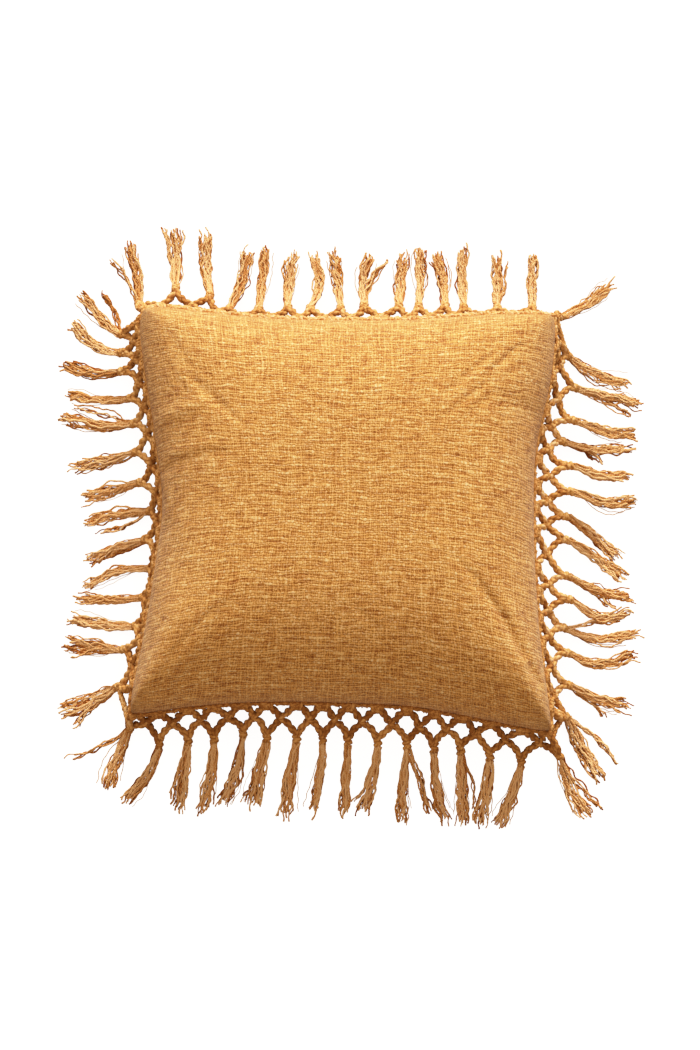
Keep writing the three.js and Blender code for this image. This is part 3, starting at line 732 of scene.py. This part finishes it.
def settled(face, back):
    """How far each point of both panels moves when two flat panels, sewn together at the rim, are
    filled: a cloth simulation gives the gathers that the seams draw into the cloth."""
    count = len(face) - 1
    faces, inside = cover_faces(count)
    points = joined(face, back, inside)
    share = shares(count) * PANEL / 2
    flat = np.stack([*np.meshgrid(share, share), np.zeros(face.shape[:2])], -1)
    mesh = bpy.data.meshes.new("cover_trial")
    mesh.from_pydata((points * MM).tolist(), [], faces.tolist())
    trial = bpy.data.objects.new("cover_trial", mesh)
    bpy.context.scene.collection.objects.link(trial)
    trial.shape_key_add(name="Basis")
    cut = trial.shape_key_add(name="cut")
    cut.data.foreach_set("co", (joined(flat, flat, inside) * MM).astype(np.float32).ravel())
    rim = trial.vertex_groups.new(name="rim")
    rim.add(np.flatnonzero(~inside).tolist(), 1.0, "REPLACE")
    modifier = trial.modifiers.new("cloth", "CLOTH")
    modifier.point_cache.frame_start = 1
    modifier.point_cache.frame_end = SETTLE_FRAMES
    cloth = modifier.settings
    cloth.rest_shape_key = cut
    cloth.vertex_group_mass = "rim"
    for name, value in COTTON.items():
        setattr(cloth, name, value)
    cloth.effector_weights.gravity = 0
    modifier.collision_settings.use_collision = False
    scene = bpy.context.scene
    for frame_number in range(1, SETTLE_FRAMES + 1):
        scene.frame_set(frame_number)
    shape = trial.evaluated_get(bpy.context.evaluated_depsgraph_get()).to_mesh()
    moved = np.empty(len(points) * 3, np.float32)
    shape.vertices.foreach_get("co", moved)
    moved = moved.reshape(-1, 3) / MM - points
    scene.frame_set(1)
    bpy.data.objects.remove(trial)
    back_moved = moved[:inside.size].reshape(face.shape).copy()
    back_moved[inside] = moved[inside.size:]
    return moved[:inside.size].reshape(face.shape), back_moved


def capped(moved, most):
    """The same moves, each shortened smoothly so that none is longer than most."""
    far = np.linalg.norm(moved, axis=-1, keepdims=True)
    return moved * np.tanh(far / most) * most / np.maximum(far, 1e-6)


def make_cover(cloth):
    face, back = panels(2 * COVER_GRID)
    for panel, moved in zip((face, back), settled(*panels(COVER_GRID))):
        panel += double(capped(moved, MOST_SETTLED))
    back[..., 2] = np.maximum(back[..., 2], 0)
    faces, inside = cover_faces(2 * COVER_GRID)
    across, along = arc_lengths(face[COVER_GRID]), arc_lengths(face[:, COVER_GRID])
    run = np.stack(np.meshgrid(across, along), -1)
    # The back's weave is the face's turned over, further along the cloth.
    face_uv, back_uv = (cell_corners(g).reshape(-1, 4, 2) for g in (run, run * (-1, 1) + (2 * PANEL, 0)))
    uv = np.concatenate([face_uv, back_uv[:, ::-1]]).reshape(-1, 2)
    cover = mesh_piece("cushion_cover", joined(face, back, inside), [faces], cloth, uv)
    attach(cover, "root")
    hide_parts("cushion")
    return cover


# The net

def bundle(tubes, paths, strands, spread, radius, turn, shade, sides=5):
    """Soft strands laid round each path and turning slowly about it."""
    paths = np.asarray(paths)
    _, normal, side = frames_along(paths)
    along = run_length(paths) / turn * 2 * np.pi + rng.uniform(0, 6.28, (len(paths), 1))
    for k in range(strands):
        angle = (along + 2 * np.pi * k / strands + rng.normal(0, 0.15))[:, :, None]
        own = spread * rng.uniform(0.85, 1.15)
        tubes.add(paths + (normal * np.cos(angle) + side * np.sin(angle)) * own,
                  radius * rng.uniform(0.85, 1.12), sides, np.asarray(shade) + rng.normal(0, 0.12))


def tie_knot(tubes, run, down, half_wide, half_long, wraps):
    """A tight knot: its cords drawn through, under thick slanting wraps."""
    turn = np.linspace(0, 2 * np.pi, 15)
    for k in range(wraps):
        thick = rng.uniform(*WRAP_THICK)
        place = lerp(-1, 1, (k + 0.5) / wraps) * (half_long - 1.6)
        slant = (2.0 if k % 2 else -1.6) + rng.normal(0, 0.5)
        wide = half_wide * (1 - 0.12 * abs(2 * (k + 0.5) / wraps - 1)) * rng.uniform(0.93, 1.07)
        ring = [run.point((wide - thick) * math.cos(a), down + place + slant * math.cos(a),
                          (wide * 0.85 - thick) * math.sin(a)) for a in turn + rng.uniform(0, 6.28)]
        tubes.add([ring], thick, 7, rng.uniform(0.2, 0.5))
    legs = []
    for across in (-KNOT_CORD, KNOT_CORD):
        for lift in (-1.3, 1.3):
            legs.append([run.point(across * rng.uniform(0.7, 1.2), down + place, lift)
                         for place in np.linspace(-half_long - 0.5, half_long + 0.5, 6)])
    tubes.add(legs, KNOT_CORD, 6, rng.uniform(0.15, 0.4, 4))


def hitch_to_hem(tubes, run):
    """The net's cords where they are hitched over the hem: flat strands side by side, drawn together."""
    tilt = rng.normal(0, 0.8)

    def at(across, s):
        half_wide = lerp(HITCH_HALF_WIDE["at_hem"], HITCH_HALF_WIDE["at_net"], s)
        lift = 0.5 + 1.9 * math.sin(math.pi * s)
        return run.point(across * half_wide + tilt * s, lerp(-0.8, HITCH_LONG, s), lift)

    places = np.linspace(-1, 1, HITCH_STRANDS) + rng.normal(0, 0.06, HITCH_STRANDS)
    strands = [[at(across, s) for s in np.linspace(0, 1, 8)] for across in places]
    tubes.add(strands, rng.uniform(1.6, 2.1, (HITCH_STRANDS, 1)), 7, rng.uniform(0.1, 0.5, HITCH_STRANDS))
    turn = np.linspace(0, 2 * np.pi, 15)
    for wide, down in ((3.5, 6.4), (4.8 + rng.normal(0, 0.3), 1.8 + rng.normal(0, 0.4))):
        ring = [run.point(wide * math.cos(a) + tilt * 0.8, down + 1.3 * math.cos(a + 0.4),
                          0.6 + 1.9 * math.sin(a)) for a in turn]
        tubes.add([ring], KNOT_CORD, 7, rng.uniform(0.2, 0.45))


def make_hem(tubes, side, first, last):
    """Yarn whipped thickly along the seam, with small frayed loops."""
    outwards = np.array(SIDES[side][1])
    places = np.linspace(first, last, 200)
    hem = np.array([hem_point(side, at) for at in places]) + outwards * HEM_OUT[side]
    hem += UP * waves(0.7, (7.0, 12.0), places[None])[0][:, None]
    hem += np.outer(waves(0.5, (9.0, 20.0), places[None])[0], outwards)
    thick = HEM_THICK[side] * (1 + waves(0.3, (5.0, 9.0), places[None])[0])
    bundle(tubes, [hem], 3, HEM_THICK[side] * 0.9, thick, HEM_TURN, [0.4])
    for at in rng.uniform(first, last, HEM_LOOPS):
        root = hem_point(side, at) + outwards * (HEM_OUT[side] + 0.4)
        reach, wide = rng.uniform(1.2, 3.2), rng.uniform(0.8, 2.8)
        t = np.linspace(0, rng.uniform(0.5, 1.0) * np.pi, 8)
        loop = root + np.outer(np.sin(t) * reach, outwards) + np.outer(t / np.pi * wide, SIDES[side][0])
        loop += np.outer(np.sin(t) * rng.uniform(-0.5, 2.0), UP)
        tubes.add([loop], rng.uniform(0.3, 0.5), 4, rng.uniform(0.2, 0.6))


def make_corner(tubes, first, last, corner, outwards, out, drop):
    """Cords that carry the net round a corner, one close to the cushion and one further out and lower."""
    t = np.linspace(0, 1, 26)[:, None]
    ways = [(first.point(0, 3), last.point(0, 3), 0.0),
            (first.point(0, first.length - 1), last.point(0, last.length - 1), 1.0)]
    for start, end, outer in ways:
        via = corner + outwards * (out + OUTER_CORNER_CORD["out"] * outer)
        via -= UP * (drop + OUTER_CORNER_CORD["drop"] * outer)
        middle = 2 * via - (start + end) / 2
        path = (1 - t) ** 2 * start + 2 * (1 - t) * t * middle + t ** 2 * end
        path += waves(0.8, (9.0, 16.0), run_length(path[None]))[0][:, None] * UP
        bundle(tubes, [path], 3, 1.5, 2.1, 13.0, rng.uniform(0.15, 0.35, 1), 8)


def cord_between(start, end, leave, arrive, steps=16):
    """A cord from one knot to the next, leaving and meeting them in the directions given, a little slack."""
    span = np.linalg.norm(end - start)
    slack = rng.normal(0, 0.05, 3) * span
    leaving, arriving = start + leave * span * CORD_BEND, end - arrive * span * CORD_BEND
    return bezier(start, leaving + slack, arriving + slack, end, steps)


def make_net(side, yarn):
    # This side's cords, hem and knots are darkened as painted shade where the side lies in the cushion's
    # shadow.
    tubes = Tubes(PAINTED_SIDE_SHADE[side])
    count = len(TASSELS[side])
    whole = [Fall(side, i) for i in range(count)]
    half = [Fall(side, i + 0.5) for i in range(count - 1)]
    reach = KNOT_HALF_LONG - 1.6
    upper, lower, ends = [], [], []
    for run in whole:
        hitch_to_hem(tubes, run)
        tie_knot(tubes, run, run.length + 0.5, KNOT_HALF_WIDE, KNOT_HALF_LONG, 3)
    for i, run in enumerate(half):
        middle = run.length * MIDDLE_ROW
        tie_knot(tubes, run, middle, KNOT_HALF_WIDE, KNOT_HALF_LONG, 2)
        for sign, other in ((-1, whole[i]), (1, whole[i + 1])):
            # Drawn apart by the knots, the cords bend into the openings between them.
            aside = unit(run.along * sign + run.down * 0.9)
            upper.append(cord_between(
                other.point(-sign * 3.4, HITCH_DOWN - 0.5), run.point(sign * 2.6, middle - 2.4),
                unit(run.down * 0.5 - run.along * sign), unit(run.down - run.along * sign * 0.6)))
            lower.append(cord_between(run.point(sign * 2.6, middle + 2.4),
                                      other.point(-sign * 1.6, other.length - reach), aside, other.down))
    for sign, run in ((-1, whole[0]), (1, whole[-1])):
        for _ in range(2):
            ends.append(cord_between(
                run.point(sign * 2.5, HITCH_DOWN), run.point(sign * 1.6, run.length - reach),
                unit(run.down + run.along * sign * 0.4), unit(run.down - run.along * sign * 0.4)))
    for cords in (upper, lower, ends):
        bundle(tubes, cords, CORD_STRANDS, CORD_SPREAD, STRAND_RADIUS, CORD_TURN,
               rng.uniform(0.1, 0.45, len(cords)), 7)
    make_hem(tubes, side, whole[0].at - 3, whole[-1].at + 3)
    piece = tubes.piece(f"net_{side}", yarn, "cotton_yarn")
    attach(piece, "root")
    return piece


def make_corners(yarn):
    tubes = Tubes()
    for first_side, first_end, last_side, last_end, out, drop in CORNERS:
        first_run = Fall(first_side, first_end % len(TASSELS[first_side]))
        last_run = Fall(last_side, last_end % len(TASSELS[last_side]))
        outwards = unit(first_run.out + last_run.out)
        beyond = -1000 if first_end == 0 else 1000
        corner = hem_point(first_side, beyond)
        corner += (last_run.out - first_run.out) / 2 * SEAM_END + outwards * 2
        make_corner(tubes, first_run, last_run, corner, outwards, out, drop)
    piece = tubes.piece("net_corners", yarn, "cotton_yarn")
    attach(piece, "root")
    return piece


# The tassels

def tassel_line(row, run, t):
    """The middle of a tassel's underside at shares t of its length, its sideways direction and its
    length over the surface."""
    at, out, tip_at, tip_out, bow, _ = row
    start = run.point(0, run.length + HEAD_BELOW)
    tip = run.along * tip_at + run.out * tip_out
    way = np.array([tip[0] - start[0], tip[1] - start[1], 0])
    reach = np.linalg.norm(way)
    way /= reach
    across = np.array([-way[1], way[0], 0])
    if across @ run.along < 0:
        across = -across
    slope = -run.down[2] / math.hypot(run.down[0], run.down[1])
    lift = start[2] - LOCK_HEIGHT / 2
    bend = min(max(2 - TOUCHDOWN * reach * slope / lift, -0.5), 1.5)
    s = np.minimum(1, t / TOUCHDOWN)
    base = lift * (1 - s) ** 2 * (1 + bend * s)
    line = start + way * (reach * t)[..., None] + across * (bow * np.sin(np.pi * np.minimum(t, 1)))[..., None]
    line[..., 2] = base
    return line, across, reach


def waves(amplitude, lengths, run):
    """Uneven waves along yarns, one yarn a row."""
    phase = rng.uniform(0, 2 * np.pi, (len(run), 1))
    length = rng.uniform(*lengths, (len(run), 1))
    return amplitude * np.sin(run / length * 2 * np.pi + phase)


def make_tassel(tubes, row, run, yarns, clumps):
    """A tassel's yarns, in locks that spread soon after the knot and lie side by side."""
    wide = row[5]
    t = np.linspace(0, 1, YARN_STEPS)[None] * (1 + rng.normal(0, 0.07, yarns))[:, None]
    line, across, reach = tassel_line(row, run, t)
    run_mm = t * reach
    clump = np.arange(yarns) % clumps
    clump_at = np.linspace(-1, 1, clumps) * 0.66 + rng.normal(0, 0.12, clumps) if clumps > 1 else np.zeros(1)
    # Within its lock each yarn has a place, and the lock turns slowly.
    angle = rng.uniform(0, 2 * np.pi, yarns)[:, None] + rng.uniform(-2.5, 2.5, clumps)[clump][:, None] * t
    away = np.sqrt(rng.uniform(0, 1, yarns))[:, None]
    own_x, own_z = away * np.cos(angle), away * np.sin(angle)
    spread = 0.62 * ease(t / 0.18) + 0.38 * t ** 0.8
    tip = (clump_at[clump][:, None] + (0.9 / clumps) * own_x) * (wide / 2 - 1)
    sideways = lerp(NECK_HALF_WIDE * own_x, tip, spread)
    sideways += waves(0.45, (8.0, 15.0), run_mm) * np.minimum(1, t * 4)
    sideways += waves(1.7, (20.0, 45.0), run_mm) * np.minimum(1, t * 2)
    # Towards their ends the yarns part from one another.
    sideways += rng.normal(0, 1.5, yarns)[:, None] * ease((t - 0.4) / 0.6)
    # A few yarns bow out of the tassel and come back.
    bowed = (rng.uniform(0, 1, yarns) < BOWED_YARNS)[:, None] * rng.uniform(-6, 6, yarns)[:, None]
    sideways += bowed * np.sin(np.pi * np.clip((t - 0.15) / 0.75, 0, 1))
    tall = lerp(2.9, 2.4, spread)
    height = LOCK_HEIGHT / 2 * (1 - spread) + tall * spread + tall * own_z
    height += waves(0.5, (8.0, 15.0), run_mm) * np.minimum(1, t * 4)
    paths = line + across * sideways[..., None]
    paths[..., 2] += height
    radius = YARN_RADIUS * (1 + waves(0.14, (7.0, 12.0), run_mm)) * rng.uniform(0.7, 1.2, (yarns, 1))
    paths[..., 2] = np.maximum(paths[..., 2], radius)
    # Whole locks are lighter or darker at random, and so is each yarn of them; the lower yarns of a lock are
    # painted darker still, as painted shade beneath the upper ones.
    shade = rng.uniform(-0.05, 0.3, clumps)[clump] + rng.uniform(-0.05, 0.38, yarns)
    tubes.add(paths, radius, 5, shade + 0.5 * own_z.mean(axis=1))


def make_tassels(side, yarn):
    tubes = Tubes()
    for i, row in enumerate(TASSELS[side]):
        run = Fall(side, i)
        make_tassel(tubes, row, run, YARNS, LOCKS["narrow" if row[5] < WIDE_TASSEL else "wide"])
        stray(tubes, row, run, rng.integers(0, 3))
    for i, tip_at, tip_out, bow, yarns in LOOSE_LOCKS[side]:
        at, out = TASSELS[side][i][:2]
        make_tassel(tubes, (at, out, tip_at, tip_out, bow, 2.5 + 0.4 * yarns), Fall(side, i), yarns, 1)
    piece = tubes.piece(f"tassels_{side}", yarn, "cotton_yarn")
    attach(piece, "root")
    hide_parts(f"trim_{side}")
    return piece


def stray(tubes, row, run, count):
    """Fine loose threads that part from a tassel and curl away over the surface."""
    if not count:
        return
    t = np.linspace(0.12, 1, 24)[None] * rng.uniform(0.8, 1.08, (count, 1))
    line, across, reach = tassel_line(row, run, t)
    sign = rng.choice([-1, 1], (count, 1))
    leave = rng.uniform(0.15, 0.6, (count, 1))
    gone = np.clip((t - leave) / (1 - leave), 0, 1)
    away = rng.uniform(2, 7, (count, 1)) * np.sin(gone * np.pi * rng.uniform(0.4, 1.0, (count, 1)))
    sideways = sign * (row[5] * 0.38 * np.minimum(1, t * 3) + away)
    sideways += waves(0.8, (8.0, 16.0), t * reach) * gone
    paths = line + across * sideways[..., None]
    paths[..., 2] += 1.2 + waves(0.8, (9.0, 20.0), t * reach) * gone
    radius = rng.uniform(*STRAY_RADIUS, (count, 1)) * np.ones(t.shape)
    paths[..., 2] = np.maximum(paths[..., 2], radius)
    tubes.add(paths, radius, 4, rng.uniform(0.3, 0.6, count))


# The room

def make_camera():
    toward = np.array([0, math.cos(ELEVATION), -math.sin(ELEVATION)])
    aim = np.array([(IMAGE[0] / 2 - ORIGIN_PIXEL[0]) * PIXEL,
                    (ORIGIN_PIXEL[1] - IMAGE[1] / 2) * PIXEL / math.sin(ELEVATION), SEAM_HEIGHT])
    camera = bpy.data.objects.new("camera", bpy.data.cameras.new("camera"))
    bpy.context.scene.collection.objects.link(camera)
    camera.location = Vector((aim - toward * DISTANCE) * MM)
    camera.rotation_euler = Vector(toward).to_track_quat("-Z", "Y").to_euler()
    camera.data.sensor_fit = "VERTICAL"
    camera.data.sensor_height = SENSOR
    camera.data.lens = SENSOR * DISTANCE / (IMAGE[1] * PIXEL)
    camera.data.clip_end = 20
    bpy.context.scene.camera = camera


def sunlight(name, shining, lit):
    """Light from far away, softened by its spread, on the pieces given."""
    direction, spread, strength = shining
    light = bpy.data.objects.new(name, bpy.data.lights.new(name, "SUN"))
    bpy.context.scene.collection.objects.link(light)
    light.data.angle = math.radians(spread)
    light.data.energy = strength
    light.rotation_euler = Vector(direction).to_track_quat("-Z", "Y").to_euler()
    receivers = bpy.data.collections.new(f"lit_by_{name}")
    for piece in lit:
        receivers.objects.link(piece)
    light.light_linking.receiver_collection = receivers
    return light


def make_room():
    object_pieces = [o for o in bpy.context.scene.objects if o.type == "MESH"]
    floor_points = np.array([[-1, -1, 0], [1, -1, 0], [1, 1, 0], [-1, 1, 0]]) * FLOOR_HALF
    floor = mesh_piece("floor", floor_points, [np.array([[0, 1, 2, 3]])], pale_floor())
    sunlight("window", WINDOW, object_pieces)
    floor_light = sunlight("floor_light", FLOOR_LIGHT, [floor])
    floor_light.data.use_shadow = False
    # The floor is brighter than a real one, so it gives the pieces no light of its own.
    floor.visible_diffuse = False
    floor.visible_glossy = False
    world = bpy.data.worlds.new("studio")
    world.use_nodes = True
    tree = world.node_tree
    where = add_node(tree, "ShaderNodeTexCoord", output="Generated")
    height = add_node(tree, "ShaderNodeSeparateXYZ", {"Vector": where}, "Z")
    height = sums(tree, "MULTIPLY_ADD", height, 0.5, 0.5)
    glow = add_node(tree, RAMP, {"Fac": height}, stops=ROOM)
    tree.links.new(glow, tree.nodes["Background"].inputs["Color"])
    tree.nodes["Background"].inputs["Strength"].default_value = ROOM_STRENGTH
    bpy.context.scene.world = world
    # The photograph's tone: the brightest parts turn pale and the floor white.
    view = bpy.context.scene.view_settings
    view.view_transform = "Standard"
    view.use_curve_mapping = True
    view.curve_mapping.use_clip = False
    for curve in list(view.curve_mapping.curves)[:3]:
        for i, (place, value) in enumerate(TONE_CURVE):
            if i < 2:
                curve.points[i].location = (place, value)
            else:
                curve.points.new(place, value)
    view.curve_mapping.white_level = (BRIGHTEST,) * 3
    view.curve_mapping.update()


make_camera()
cloth = dyed_slub_cotton()
tassel_yarn = plied_cotton("plied_tassel_yarn", 3.4, TASSEL_TONES, 0.0004)
net_yarn = plied_cotton("twisted_net_cord", 5.0, NET_TONES, 0.0006)
make_cover(cloth)
for side in SIDES:
    make_net(side, net_yarn)
    make_tassels(side, tassel_yarn)
make_corners(net_yarn)
make_room()
